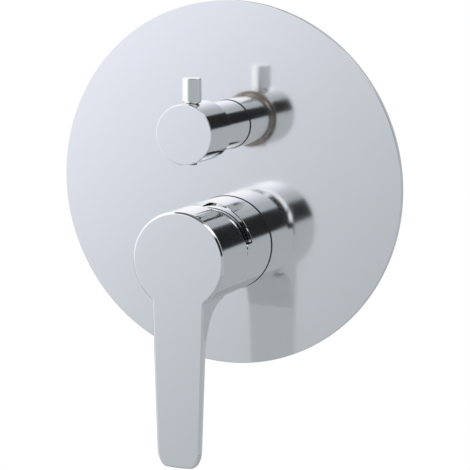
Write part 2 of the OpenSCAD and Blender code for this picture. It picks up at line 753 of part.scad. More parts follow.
valve_body();
fixing_bracket();
bracket_screws();
wall_plate();
plate_seal();
mixer_plate_oring();
diverter_plate_oring();
cap_ring();
sleeve_ring();
cartridge_base();
base_seals();
fixed_disc();
cartridge_housing();
cartridge_nut();
turning_cap();
cartridge_carrier();
stem_pin();
disc_driver();
moving_disc();
cartridge_stem();
lever_handle();
handle_grub_screw();
handle_screw_plug();
diverter_fixed_disc();
diverter_bonnet();
bonnet_oring();
diverter_sleeve();
diverter_turning_disc();
diverter_spindle();
spindle_oring();
spindle_clip();
diverter_knob();
diverter_pin();
diverter_grub_screw();
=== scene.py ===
import json
import math

import bmesh
import bpy
import numpy as np
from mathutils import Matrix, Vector


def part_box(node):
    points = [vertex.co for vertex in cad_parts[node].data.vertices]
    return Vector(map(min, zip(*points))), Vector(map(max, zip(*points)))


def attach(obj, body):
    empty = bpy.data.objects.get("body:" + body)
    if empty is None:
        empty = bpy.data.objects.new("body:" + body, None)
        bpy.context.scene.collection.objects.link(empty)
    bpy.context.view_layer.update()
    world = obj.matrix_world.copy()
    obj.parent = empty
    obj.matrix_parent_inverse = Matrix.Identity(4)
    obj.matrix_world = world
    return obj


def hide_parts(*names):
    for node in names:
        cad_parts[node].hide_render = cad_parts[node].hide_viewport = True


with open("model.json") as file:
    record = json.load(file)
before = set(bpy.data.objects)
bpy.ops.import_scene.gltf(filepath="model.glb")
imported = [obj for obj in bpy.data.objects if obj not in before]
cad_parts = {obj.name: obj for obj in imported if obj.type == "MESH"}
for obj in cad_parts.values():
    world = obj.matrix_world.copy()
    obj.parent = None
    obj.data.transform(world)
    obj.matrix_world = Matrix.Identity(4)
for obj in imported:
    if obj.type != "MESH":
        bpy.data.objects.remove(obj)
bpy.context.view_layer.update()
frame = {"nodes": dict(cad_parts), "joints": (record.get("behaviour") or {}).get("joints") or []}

# Places that everything else hangs on, read from the frame, in millimetres
mm = 0.001
jointPlace = {joint["name"]: joint.get("pos_m") for joint in frame["joints"]}
plateFront = -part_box("wall_plate")[0].y / mm            # the plate's front face, out from the lugs
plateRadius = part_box("wall_plate")[1].x / mm
mixerUp = jointPlace["temperature_turn"][2] / mm        # heights of the two axes
diverterUp = jointPlace["diverter_turn"][2] / mm
print("frame:", len(frame["nodes"]), "nodes, plate front at", round(plateFront, 1), "mm")


# Camera, as fitted to the photograph: azimuth and elevation in degrees, lengths in metres, lens in mm

camera = {"target": (0.00378, -0.054, -0.02534), "azimuth": 23.32, "elevation": 9.16,
          "distance": 1.0036, "lens": 155.7}


def makeCamera():
    az, el = math.radians(camera["azimuth"]), math.radians(camera["elevation"])
    back = Vector((math.sin(az) * math.cos(el), -math.cos(az) * math.cos(el), math.sin(el)))
    eye = bpy.data.objects.new("photoCamera", bpy.data.cameras.new("photoCamera"))
    bpy.context.scene.collection.objects.link(eye)
    eye.data.lens, eye.data.sensor_width = camera["lens"], 36.0
    eye.data.clip_start, eye.data.clip_end = 0.01, 30.0
    eye.location = Vector(camera["target"]) + back * camera["distance"]
    eye.rotation_mode = "QUATERNION"
    eye.rotation_quaternion = (-back).to_track_quat("-Z", "Y")
    bpy.context.scene.camera = eye


# Small helpers for node trees

def addNode(tree, kind, **settings):
    node = tree.nodes.new(kind)
    for key, value in settings.items():
        setattr(node, key, value)
    return node


def wire(tree, source, target):
    # a socket is linked, a number or a tuple is set
    if isinstance(source, (int, float, tuple)):
        target.default_value = source
    else:
        tree.links.new(source, target)


def calc(tree, operation, first, second=0.0, third=0.0):
    node = addNode(tree, "ShaderNodeMath", operation=operation)
    for value, socket in zip((first, second, third), node.inputs):
        wire(tree, value, socket)
    return node.outputs[0]


def remap(tree, value, fromLow, fromHigh, toLow=0.0, toHigh=1.0, smooth=True):
    node = addNode(tree, "ShaderNodeMapRange", clamp=True,
                   interpolation_type="SMOOTHSTEP" if smooth else "LINEAR")
    for source, socket in zip((value, fromLow, fromHigh, toLow, toHigh), node.inputs):
        wire(tree, source, socket)
    return node.outputs[0]


def mixColor(tree, factor, first, second):
    node = addNode(tree, "ShaderNodeMix", data_type="RGBA")
    wire(tree, factor, node.inputs[0])
    wire(tree, first, node.inputs[6])
    wire(tree, second, node.inputs[7])
    return node.outputs[2]


def opaque(colour):
    return (*colour, 1.0)


# Surroundings: a white studio. Left of the object it is bright, to the right it falls to a soft grey,
# and a dark card stands high on the right. The camera itself sees plain white. Angles are in degrees,
# and a pair of them says between which two a tone fades in.

studio = {
    "perAzimuth": -3.4, "perElevation": 3.3,             # how the tone falls round the object, per degree
    "elevationRange": (-18.0, 9.0),
    "tones": [(0.0, (0.420, 0.445, 0.465)), (18.0, (0.430, 0.455, 0.480)), (35.0, (0.513, 0.539, 0.572)),
              (45.0, (0.569, 0.595, 0.631)), (55.0, (0.639, 0.663, 0.712)), (65.0, (0.726, 0.747, 0.811)),
              (75.0, (0.826, 0.840, 0.928)), (90.0, (0.965, 0.970, 1.02)), (110.0, (1.08, 1.08, 1.10)),
              (150.0, (1.12, 1.12, 1.12)), (300.0, (1.05, 1.05, 1.06))],
    "leftFoot": {"tone": (0.50, 0.53, 0.54), "azimuth": (-60.0, -80.0), "elevation": (-4.0, -15.0)},
    "behind": {"tone": (0.450, 0.468, 0.485), "forward": (-0.08, -0.2), "left": (-95.0, -145.0),
               "right": (-2.0, 2.0), "toSky": (22.0, 38.0)},
    "sky": {"tone": (1.15, 1.15, 1.16), "elevation": (33.0, 42.0)},
    "dullSky": {"tone": (0.36, 0.37, 0.385), "left": (-14.0, -6.0), "right": (28.0, 18.0)},
    "zenith": {"tone": (0.15, 0.15, 0.16), "elevation": (57.0, 63.0)},
    "ground": {"tone": (0.440, 0.460, 0.475), "elevation": (-32.0, -50.0)},
    "card": {"tone": (0.018, 0.018, 0.020), "left": (9.9, 12.1), "right": (76.0, 64.0),
             "low": (2.5, 4.7), "high": (36.0, 32.0)},
    "strength": 1.0,
}


def layer(tree, under, over, *masks):
    # one tone over another where all masks are 1
    mask = masks[0]
    for other in masks[1:]:
        mask = calc(tree, "MULTIPLY", mask, other)
    return mixColor(tree, mask, under, over)


def roundTone(tree, azimuth, elevation):
    # a ramp of tones over perAzimuth * azimuth + perElevation * elevation
    low, high = studio["elevationRange"]
    held = calc(tree, "MINIMUM", calc(tree, "MAXIMUM", elevation, low), high)
    level = calc(tree, "ADD", calc(tree, "MULTIPLY", azimuth, studio["perAzimuth"]),
                 calc(tree, "MULTIPLY", held, studio["perElevation"]))
    ramp = addNode(tree, "ShaderNodeValToRGB")
    lowest, highest = studio["tones"][0][0], studio["tones"][-1][0]
    tree.links.new(remap(tree, level, lowest, highest, smooth=False), ramp.inputs[0])
    stops = ramp.color_ramp.elements
    for i, (place, tone) in enumerate(studio["tones"]):
        share = (place - lowest) / (highest - lowest)
        stop = stops[i] if i < len(stops) else stops.new(share)
        stop.position = share
        stop.color = opaque(tone)
    return ramp.outputs[0]


def makeSurroundings():
    world = bpy.data.worlds.new("studio")
    bpy.context.scene.world = world
    world.use_nodes = True
    tree = world.node_tree
    tree.nodes.clear()
    split = addNode(tree, "ShaderNodeSeparateXYZ")
    tree.links.new(addNode(tree, "ShaderNodeTexCoord").outputs["Generated"], split.inputs[0])
    x, y, z = split.outputs
    toDegrees = 180.0 / math.pi
    forward = calc(tree, "MULTIPLY", y, -1.0)
    azimuth = calc(tree, "MULTIPLY", calc(tree, "ARCTAN2", x, forward), toDegrees)
    elevation = calc(tree, "MULTIPLY", calc(tree, "ARCSINE", z), toDegrees)

    def within(name, *ends):
        # masks of one entry: its ends named elevation, low and high go by elevation, the rest by azimuth
        return [remap(tree, elevation if end in ("elevation", "low", "high") else azimuth, *studio[name][end])
                for end in ends]

    tones = {name: opaque(entry["tone"]) for name, entry in studio.items() if isinstance(entry, dict)}
    tone = layer(tree, roundTone(tree, azimuth, elevation), tones["leftFoot"],
                 *within("leftFoot", "azimuth", "elevation"))
    rear = mixColor(tree, remap(tree, elevation, *studio["behind"]["toSky"]), tones["behind"], tones["sky"])
    sides = calc(tree, "MAXIMUM", *within("behind", "left", "right"))
    tone = layer(tree, tone, rear, remap(tree, forward, *studio["behind"]["forward"]), sides)
    sky = layer(tree, tones["sky"], tones["dullSky"], *within("dullSky", "left", "right"))
    tone = layer(tree, tone, sky, *within("sky", "elevation"))
    tone = layer(tree, tone, tones["zenith"], *within("zenith", "elevation"))
    tone = layer(tree, tone, tones["ground"], *within("ground", "elevation"))
    tone = layer(tree, tone, tones["card"], *within("card", "left", "right", "low", "high"))
    toCamera = addNode(tree, "ShaderNodeLightPath").outputs["Is Camera Ray"]
    background = addNode(tree, "ShaderNodeBackground")
    background.inputs["Strength"].default_value = studio["strength"]
    tree.links.new(mixColor(tree, toCamera, tone, opaque((1.0, 1.0, 1.0))), background.inputs["Color"])
    tree.links.new(background.outputs[0], addNode(tree, "ShaderNodeOutputWorld").inputs[0])
    bpy.context.scene.view_settings.view_transform = "Standard"
    print("surroundings made")


# Floor: a grey disc well below the mixer, which fades to white where the camera sees it

floor = {"down": 0.46, "radius": 0.85, "rings": 9, "spokes": 96, "clear": (0.30, 0.80),
         "colour": (0.54, 0.55, 0.57), "roughness": 0.9}


def makeFloor():
    # polar grid: point = (r cos a, r sin a, -down)
    radii = np.linspace(0.0, floor["radius"], floor["rings"])[:, None]
    angles = np.linspace(0.0, 2 * np.pi, floor["spokes"], endpoint=False)[None, :]
    across, along = radii * np.cos(angles), radii * np.sin(angles)
    points = np.stack([across, along, 0 * across - floor["down"]], axis=-1)
    disc = meshObject("studioFloor", [(points, False, True)])
    material, tree, shader = newMaterial("floorGrey", floor["colour"], 0.0, floor["roughness"])
    flat = stretched(tree, (1.0, 1.0, 0.0))
    away = addNode(tree, "ShaderNodeVectorMath", operation="LENGTH")
    tree.links.new(flat, away.inputs[0])
    fade = remap(tree, away.outputs["Value"], *floor["clear"])
    blend = addNode(tree, "ShaderNodeMixShader")
    toCamera = addNode(tree, "ShaderNodeLightPath").outputs["Is Camera Ray"]
    tree.links.new(calc(tree, "MULTIPLY", fade, toCamera), blend.inputs[0])
    tree.links.new(shader.outputs[0], blend.inputs[1])
    tree.links.new(addNode(tree, "ShaderNodeEmission").outputs[0], blend.inputs[2])
    tree.links.new(blend.outputs[0], tree.nodes["Material Output"].inputs[0])
    disc.data.materials.append(material)
    print("floor made")


# Mesh building. The small fixed distances in the profiles, up to 0.12 mm, place holding points: these lie
# just beside an edge and keep the reflections on the flats straight.

def gridFaces(rows, columns, closeRows, closeColumns, first):
    # quads (i, j), (i+1, j), (i+1, j+1), (i, j+1) of a grid whose vertices are numbered row by row
    i = np.arange(rows if closeRows else rows - 1)[:, None]
    j = np.arange(columns if closeColumns else columns - 1)[None, :]
    down, right = (i + 1) % rows, (j + 1) % columns
    corners = [i * columns + j, down * columns + j, down * columns + right, i * columns + right]
    return np.stack(corners, axis=-1).reshape(-1, 4) + first


def meshObject(name, grids, sharpAngle=35.0, weld=2e-7):
    # one mesh from several grids of points in the row frame, each (points, closeRows, closeColumns);
    # doubles are welded, so poles and seams close
    points, faces, count = [], [], 0
    for grid, closeRows, closeColumns in grids:
        rows, columns = grid.shape[:2]
        faces.append(gridFaces(rows, columns, closeRows, closeColumns, count))
        points.append(grid.reshape(-1, 3))
        count += rows * columns
    mesh = bpy.data.meshes.new(name)
    mesh.from_pydata(np.concatenate(points), [], np.concatenate(faces).tolist())
    closeMesh(mesh, weld)
    finishMesh(mesh, sharpAngle)
    piece = bpy.data.objects.new(name, mesh)
    bpy.context.scene.collection.objects.link(piece)
    return piece


def closeMesh(mesh, weld):
    # welds doubles, takes out faces without area and edges without a face, and turns the faces outwards
    work = bmesh.new()
    work.from_mesh(mesh)
    bmesh.ops.remove_doubles(work, verts=work.verts, dist=weld)
    bmesh.ops.dissolve_degenerate(work, edges=work.edges, dist=1e-8)
    loose = [edge for edge in work.edges if not edge.link_faces]
    bmesh.ops.delete(work, geom=loose, context="EDGES")
    bmesh.ops.recalc_face_normals(work, faces=work.faces)
    work.to_mesh(mesh)
    work.free()


def finishMesh(mesh, sharpAngle=35.0):
    mesh.shade_smooth()
    mesh.set_sharp_from_angle(angle=math.radians(sharpAngle))
    mesh.update()


def readMesh(items, field, width=1, kind=np.float32):
    # one field of all vertices, corners or faces as an array
    values = np.empty(len(items) * width, kind)
    items.foreach_get(field, values)
    return values.reshape(-1, width)


def roundProfile(corners, radii, steps=7, hold=0.06):
    # a closed outline with each corner replaced by an arc of its radius, tangent to both sides,
    # and a holding point just before and after each arc
    corners = np.array(corners, float)
    before, after = np.roll(corners, 1, axis=0), np.roll(corners, -1, axis=0)
    outline = []
    for corner, last, following, radius in zip(corners, before, after, radii):
        if radius <= 0:
            outline.append(corner[None])
            continue
        towardsLast = (last - corner) / np.linalg.norm(last - corner)
        towardsNext = (following - corner) / np.linalg.norm(following - corner)
        half = math.acos(np.clip(towardsLast @ towardsNext, -1, 1)) / 2
        reach = radius / math.tan(half)
        middle = towardsLast + towardsNext
        centre = corner + middle / np.linalg.norm(middle) * radius / math.sin(half)
        start = corner + towardsLast * reach - centre
        end = corner + towardsNext * reach - centre
        turn = math.atan2(start[0] * end[1] - start[1] * end[0], start @ end)
        angles = np.linspace(0.0, turn, steps)
        arc = np.stack([start[0] * np.cos(angles) - start[1] * np.sin(angles),
                        start[0] * np.sin(angles) + start[1] * np.cos(angles)], axis=1) + centre
        outline += [(corner + towardsLast * (reach + hold))[None], arc,
                    (corner + towardsNext * (reach + hold))[None]]
    return np.concatenate(outline)


def joinStretches(stretches, rows):
    # a grid from stretches of a profile that changes from row to row. Each stretch gives its coordinates,
    # and each of these is one number, one per row, one per point of the stretch, or both.
    perRow = np.zeros((rows, 1))
    spread = [np.broadcast_arrays(*stretch, perRow)[:-1] for stretch in stretches]
    return np.concatenate([np.stack(coordinates, axis=-1) for coordinates in spread], axis=1)


def inRowFrame(x, up, out, axisUp):
    # millimetres in the face frame about an axis at that height, to metres in the row frame
    return np.stack([x, -(plateFront + out), axisUp + up], axis=-1) * mm


def turned(profile, axisUp, steps=192):
    # a profile of (radius, out) carried round an axis that points out of the wall:
    # x = r sin a, up = r cos a
    angle = np.linspace(0.0, 2 * np.pi, steps, endpoint=False)[:, None]
    radius, out = profile[None, :, 0], profile[None, :, 1]
    return inRowFrame(radius * np.sin(angle), radius * np.cos(angle), out + 0 * angle, axisUp)


def turnedUpright(profile, out, axisUp, steps):
    # a profile of (radius, up) carried round an upright axis at x = 0: x = r cos a, out = r sin a
    angle = np.linspace(0.0, 2 * np.pi, steps, endpoint=False)[:, None]
    radius, up = profile[None, :, 0], profile[None, :, 1]
    return inRowFrame(radius * np.cos(angle), up + 0 * angle, out + radius * np.sin(angle), axisUp)


# Cutters: plain rods that reach past what they cut by cutterOver

cutterOver = 4.0


def outwardRod(radius, rear, front, axisUp, steps=128):
    profile = np.array([[0.0, rear], [radius, rear], [radius, front], [0.0, front]])
    return meshObject("rod", [(turned(profile, axisUp, steps), True, False)])


def uprightRod(radius, lowEnd, highEnd, out, axisUp, steps=64, thinner=None):
    # stands up at x = 0, and may go on thinner: (radius, end)
    profile = [(0.0, lowEnd), (radius, lowEnd), (radius, highEnd)]
    if thinner:
        profile += [(thinner[0], highEnd), thinner]
        highEnd = thinner[1]
    profile.append((0.0, highEnd))
    return meshObject("rod", [(turnedUpright(np.array(profile), out, axisUp, steps), True, False)])


def cutAway(piece, cutters, weld=2e-6):
    # exact booleans, applied one after the other
    for cutter, operation in cutters:
        tool = piece.modifiers.new("cut", "BOOLEAN")
        tool.object, tool.operation, tool.solver = cutter, operation, "EXACT"
        graph = bpy.context.evaluated_depsgraph_get()
        result = bpy.data.meshes.new_from_object(piece.evaluated_get(graph), depsgraph=graph)
        piece.modifiers.clear()
        old, piece.data = piece.data, result
        bpy.data.meshes.remove(old)
        bpy.data.objects.remove(cutter)
    piece.data.name = piece.name
    closeMesh(piece.data, weld)
    finishMesh(piece.data)


def dress(piece, node, body, material):
    piece.data.materials.clear()
    piece.data.materials.append(material)
    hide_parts(node)
    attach(piece, body)


# Finishes. Each effect that several materials use is a node group; the shader stays in the material.

def newGroup(name, inputs, outputs):
    # inputs are numbers or vectors with their usual values, outputs are numbers
    tree = bpy.data.node_groups.new(name, "ShaderNodeTree")
    for label, value in inputs.items():
        kind = "NodeSocketVector" if isinstance(value, tuple) else "NodeSocketFloat"
        socket = tree.interface.new_socket(name=label, in_out="INPUT", socket_type=kind)
        socket.default_value = value
    for label in outputs:
        tree.interface.new_socket(name=label, in_out="OUTPUT", socket_type="NodeSocketFloat")
    return tree, addNode(tree, "NodeGroupInput").outputs, addNode(tree, "NodeGroupOutput").inputs


def noise(tree, vector, scale, detail=2.0, roughness=0.5):
    node = addNode(tree, "ShaderNodeTexNoise")
    for value, label in ((vector, "Vector"), (scale, "Scale"), (detail, "Detail"), (roughness, "Roughness")):
        wire(tree, value, node.inputs[label])
    return node.outputs["Fac"]


def stretched(tree, scale=(1.0, 1.0, 1.0)):
    # places on the piece, stretched along its axes
    node = addNode(tree, "ShaderNodeVectorMath", operation="MULTIPLY")
    tree.links.new(addNode(tree, "ShaderNodeTexCoord").outputs["Object"], node.inputs[0])
    node.inputs[1].default_value = scale
    return node.outputs[0]


polish = {"smears": 38.0, "smearRange": (0.35, 0.75), "lines": (2600.0, 900.0, 240.0), "waviness": 22.0}


def makePolishMarks():
    # wiping marks and faint buffing lines on plated metal
    tree, given, result = newGroup("polishMarks", {"Low": 0.03, "High": 0.06, "Lines": 1.0},
                                   ["Roughness", "Height"])
    smears = noise(tree, stretched(tree), polish["smears"], 4.0, 0.6)
    lines = noise(tree, stretched(tree, polish["lines"]), 1.0)
    waviness = noise(tree, stretched(tree), polish["waviness"], 1.0, 0.4)
    wiped = remap(tree, smears, *polish["smearRange"], given["Low"], given["High"])
    tree.links.new(wiped, result["Roughness"])
    tree.links.new(calc(tree, "MULTIPLY_ADD", lines, given["Lines"], waviness), result["Height"])
    return tree


casting = {"lumps": 620.0, "grit": 2400.0, "gritShare": 0.35, "hollowRange": (0.52, 0.38),
           "stains": 55.0, "stainRange": (0.42, 0.68)}


def makeCastGrain():
    # sand-cast skin: lumps of about a millimetre and fine grit, with masks for darker hollows and stains
    tree, given, result = newGroup("castGrain", {"Size": 1.0}, ["Hollows", "Stains", "Height"])
    lumps = noise(tree, stretched(tree), calc(tree, "DIVIDE", casting["lumps"], given["Size"]), 3.0, 0.55)
    grit = noise(tree, stretched(tree), calc(tree, "DIVIDE", casting["grit"], given["Size"]), 2.0, 0.6)
    stains = noise(tree, stretched(tree), casting["stains"], 4.0, 0.6)
    tree.links.new(remap(tree, lumps, *casting["hollowRange"]), result["Hollows"])
    tree.links.new(remap(tree, stains, *casting["stainRange"]), result["Stains"])
    tree.links.new(calc(tree, "MULTIPLY_ADD", grit, casting["gritShare"], lumps), result["Height"])
    return tree


def makeTurnedRings():
    # fine tool rings round an axis that points out of the wall: a wave of the distance from that axis
    # plus the place along it, so that they are rings on faces and turns along the sides
    tree, given, result = newGroup("turnedRings", {"Centre": (0.0, 0.0, 0.0), "Pitch": 0.00035},
                                   ["Rings", "Height"])
    offset = addNode(tree, "ShaderNodeVectorMath", operation="SUBTRACT")
    tree.links.new(stretched(tree), offset.inputs[0])
    tree.links.new(given["Centre"], offset.inputs[1])
    split = addNode(tree, "ShaderNodeSeparateXYZ")
    tree.links.new(offset.outputs[0], split.inputs[0])
    x, y, z = split.outputs
    squares = calc(tree, "ADD", calc(tree, "MULTIPLY", x, x), calc(tree, "MULTIPLY", z, z))
    travel = calc(tree, "ADD", calc(tree, "SQRT", squares), y)
    turns = calc(tree, "DIVIDE", calc(tree, "MULTIPLY", travel, 2 * math.pi), given["Pitch"])
    wave = calc(tree, "SINE", turns)
    uneven = noise(tree, stretched(tree), 300.0, 3.0, 0.6)
    tree.links.new(calc(tree, "MULTIPLY_ADD", wave, 0.5, 0.5), result["Rings"])
    tree.links.new(calc(tree, "MULTIPLY", wave, uneven), result["Height"])
    return tree


def makeMouldedSkin():
    # eroded-tool skin of moulded plastic and rubber, with a soft cloudiness
    tree, given, result = newGroup("mouldedSkin", {"Grain": 1.0}, ["Cloud", "Height"])
    fine = noise(tree, stretched(tree), calc(tree, "DIVIDE", 5200.0, given["Grain"]))
    tree.links.new(noise(tree, stretched(tree), 90.0, 3.0), result["Cloud"])
    tree.links.new(fine, result["Height"])
    return tree


def newMaterial(name, colour, metallic, roughness):
    material = bpy.data.materials.new(name)
    material.use_nodes = True
    shader = material.node_tree.nodes["Principled BSDF"]
    shader.inputs["Base Color"].default_value = opaque(colour)
    shader.inputs["Metallic"].default_value = metallic
    shader.inputs["Roughness"].default_value = roughness
    return material, material.node_tree, shader


def placeGroup(tree, group, **values):
    node = addNode(tree, "ShaderNodeGroup", node_tree=group)
    for label, value in values.items():
        node.inputs[label].default_value = value
    return node.outputs


def addBump(tree, height, shader, depth, strength=1.0):
    bump = addNode(tree, "ShaderNodeBump")
    bump.inputs["Strength"].default_value = strength
    bump.inputs["Distance"].default_value = depth
    tree.links.new(height, bump.inputs["Height"])
    tree.links.new(bump.outputs[0], shader.inputs["Normal"])


chrome = {
    "polishedChrome": {"colour": (0.915, 0.925, 0.930), "roughness": (0.022, 0.050), "lines": 0.10,
                       "depth": 0.0000022},
    "plateChrome": {"colour": (0.915, 0.925, 0.930), "roughness": (0.085, 0.115), "lines": 0.14,
                    "depth": 0.0000026},
}


def makeChrome(name, marks):
    values = chrome[name]
    low, high = values["roughness"]
    material, tree, shader = newMaterial(name, values["colour"], 1.0, low)
    result = placeGroup(tree, marks, Low=low, High=high, Lines=values["lines"])
    tree.links.new(result["Roughness"], shader.inputs["Roughness"])
    addBump(tree, result["Height"], shader, values["depth"])
    return material


castBrass = {"skin": (0.60, 0.44, 0.20), "hollow": (0.49, 0.355, 0.16), "stain": (0.50, 0.33, 0.14),
             "roughness": (0.36, 0.62), "depth": 0.00012, "bump": 0.8}


def makeCastBrass(grain):
    values = castBrass
    material, tree, shader = newMaterial("castBrass", values["skin"], 1.0, values["roughness"][0])
    result = placeGroup(tree, grain, Size=1.0)
    tone = mixColor(tree, result["Stains"], opaque(values["skin"]), opaque(values["stain"]))
    tone = mixColor(tree, result["Hollows"], tone, opaque(values["hollow"]))
    rough = remap(tree, result["Hollows"], 0.0, 1.0, *values["roughness"], smooth=False)
    tree.links.new(tone, shader.inputs["Base Color"])
    tree.links.new(rough, shader.inputs["Roughness"])
    addBump(tree, result["Height"], shader, values["depth"], values["bump"])
    return material


# Turned metal: the two tones lie on and between the tool's rings, whose pitch is in metres

turnedMetal = {
    "mixerBrass": {"colour": (0.80, 0.62, 0.30), "dull": (0.62, 0.46, 0.22), "roughness": 0.24,
                   "axisUp": mixerUp, "pitch": 0.00035},
    "diverterBrass": {"colour": (0.80, 0.62, 0.30), "dull": (0.62, 0.46, 0.22), "roughness": 0.24,
                      "axisUp": diverterUp, "pitch": 0.00035},
    # the next entry is painted shade: a dark brownish metal for the outer part of the knob's rear face
    "paintedRearShade": {"colour": (0.29, 0.235, 0.18), "dull": (0.22, 0.175, 0.13), "roughness": 0.16,
                    "axisUp": diverterUp, "pitch": 0.00035},
    "stainless": {"colour": (0.62, 0.62, 0.63), "dull": (0.50, 0.50, 0.51), "roughness": 0.30,
                  "axisUp": mixerUp, "pitch": 0.0006},
    "screwSteel": {"colour": (0.40, 0.40, 0.41), "dull": (0.28, 0.28, 0.29), "roughness": 0.32,
                   "axisUp": diverterUp, "pitch": 0.0005},
}
ringDepth, ringBump, ringDullness = 0.00001, 0.7, 0.08


def makeTurnedMetal(name, rings):
    values = turnedMetal[name]
    roughness = values["roughness"]
    material, tree, shader = newMaterial(name, values["colour"], 1.0, roughness)
    result = placeGroup(tree, rings, Centre=(0.0, 0.0, values["axisUp"] * mm), Pitch=values["pitch"])
    tone = mixColor(tree, result["Rings"], opaque(values["dull"]), opaque(values["colour"]))
    rough = remap(tree, result["Rings"], 0.0, 1.0, roughness + ringDullness, roughness, smooth=False)
    tree.links.new(tone, shader.inputs["Base Color"])
    tree.links.new(rough, shader.inputs["Roughness"])
    addBump(tree, result["Height"], shader, ringDepth, ringBump)
    return material


# Moulded and ground surfaces: the grain is coarser with a larger number, its depth is in metres

moulded = {
    "blackRubber": {"colour": (0.022, 0.022, 0.023), "cloud": (0.040, 0.040, 0.041), "roughness": 0.62,
                    "grain": 1.5, "depth": 0.00001},
    "greyFoam": {"colour": (0.10, 0.10, 0.105), "cloud": (0.15, 0.15, 0.155), "roughness": 0.88,
                 "grain": 6.0, "depth": 0.00008},
    "palePlastic": {"colour": (0.72, 0.73, 0.73), "cloud": (0.66, 0.67, 0.68), "roughness": 0.42,
                    "grain": 1.0, "depth": 0.00001},
    "darkPlastic": {"colour": (0.18, 0.20, 0.23), "cloud": (0.24, 0.26, 0.30), "roughness": 0.40,
                    "grain": 1.0, "depth": 0.00001},
    "whiteCeramic": {"colour": (0.86, 0.86, 0.84), "cloud": (0.82, 0.82, 0.80), "roughness": 0.16,
                     "grain": 2.0, "depth": 0.000003},
    "greyPlug": {"colour": (0.62, 0.63, 0.65), "cloud": (0.56, 0.57, 0.60), "roughness": 0.22,
                 "grain": 1.0, "depth": 0.00001},
}
cloudRange, cloudDullness, grainBump = (0.3, 0.7), (-0.04, 0.05), 0.6


def makeMoulded(name, skin):
    values = moulded[name]
    roughness = values["roughness"]
    material, tree, shader = newMaterial(name, values["colour"], 0.0, roughness)
    result = placeGroup(tree, skin, Grain=values["grain"])
    tone = mixColor(tree, result["Cloud"], opaque(values["colour"]), opaque(values["cloud"]))
    low, high = cloudDullness
    rough = remap(tree, result["Cloud"], *cloudRange, roughness + low, roughness + high)
    tree.links.new(tone, shader.inputs["Base Color"])
    tree.links.new(rough, shader.inputs["Roughness"])
    addBump(tree, result["Height"], shader, values["depth"], grainBump)
    return material


def makeFinishes():
    marks, grain, rings, skin = makePolishMarks(), makeCastGrain(), makeTurnedRings(), makeMouldedSkin()
    finishes = {name: makeChrome(name, marks) for name in chrome}
    finishes["castBrass"] = makeCastBrass(grain)
    finishes.update({name: makeTurnedMetal(name, rings) for name in turnedMetal})
    finishes.update({name: makeMoulded(name, skin) for name in moulded})
    print("finishes made:", len(finishes))
    return finishes

nodeFinish = {
    "valve_body": "castBrass", "fixing_bracket": "stainless", "bracket_screws": "stainless",
    "plate_seal": "greyFoam", "mixer_plate_oring": "blackRubber", "diverter_plate_oring": "blackRubber",
    "cap_ring": "blackRubber", "sleeve_ring": "blackRubber",
    "cartridge_base": "palePlastic", "base_seals": "blackRubber", "fixed_disc": "whiteCeramic",
    "cartridge_housing": "palePlastic", "cartridge_nut": "mixerBrass", "cartridge_carrier": "darkPlastic",
    "stem_pin": "stainless", "disc_driver": "darkPlastic", "moving_disc": "whiteCeramic",
    "cartridge_stem": "stainless", "handle_grub_screw": "screwSteel", "handle_screw_plug": "greyPlug",
    "diverter_fixed_disc": "whiteCeramic", "diverter_bonnet": "diverterBrass", "bonnet_oring": "blackRubber",
    "diverter_turning_disc": "whiteCeramic", "diverter_spindle": "diverterBrass",
    "spindle_oring": "blackRubber", "spindle_clip": "stainless", "diverter_grub_screw": "screwSteel",
}


def dressNodes(finishes):
    for name, finish in nodeFinish.items():
        piece = frame["nodes"][name]
        if not piece.material_slots:
            piece.data.materials.append(None)
        for slot in piece.material_slots:
            slot.material = finishes[finish]
    print("frame's nodes dressed")


# Wall plate: a thin disc with a turned-back rim and two drawn collars

plate = {"thick": 1.4, "rim": 2.6, "edge": 0.25, "fold": 0.6, "collarDepth": 6.5, "collarWall": 1.2,
         "mixerHole": 21.5, "diverterHole": 11.6}


def makePlate(finishes):
    thick, rim, edge, depth = plate["thick"], plate["rim"], plate["edge"], plate["collarDepth"]
    outline = roundProfile([(0, 0), (plateRadius, 0), (plateRadius, -rim), (plateRadius - thick, -rim),
                            (plateRadius - thick, -thick), (0, -thick)],
                           [0, edge, edge / 2, edge / 2, plate["fold"], 0])
    piece = meshObject("wallPlate", [(turned(outline, 0.0, 288), True, True)])
    holes = [(plate["mixerHole"], mixerUp), (plate["diverterHole"], diverterUp)]
    collars = [(outwardRod(radius + plate["collarWall"], -depth, -thick / 2, axisUp), "UNION")
               for radius, axisUp in holes]
    bores = [(outwardRod(radius, -depth - cutterOver, cutterOver, axisUp), "DIFFERENCE")
             for radius, axisUp in holes]
    cutAway(piece, collars + bores)
    dress(piece, "wall_plate", "fixed_body", finishes["plateChrome"])
    print("wall plate made:", len(piece.data.polygons))


# Diverter: sleeve, knob and upright pin, all turned

diverter = {"sleeveRadius": 12.0, "sleeveRear": 0.6, "sleeveFront": 28.1, "sleeveFace": 2.0,
            "sleeveBore": 11.1, "neckBore": 7.1, "sleeveEdge": 1.3,
            "knobRadius": 14.3, "knobRear": 28.4, "knobFront": 51.9, "knobEdge": 0.4, "knobRearEdge": 0.3,
            # the first entry below is the radius from which the knob's rear face is painted with shade
            "rearShadeFrom": 12.1, "recess": (6.4, 11.5, 3.0), "bore": (4.05, 17.2),
            "pinRadius": 4.55, "pinFoot": 14.3, "pinTop": 26.0, "pinEdge": 0.35, "pinFootEdge": 0.9,
            "shankRadius": 2.5, "shankFoot": 5.4, "shankHole": 2.6, "shankGap": 0.4,
            "screwHole": 2.45, "screwEnd": -2.0, "pinOut": 42.5}


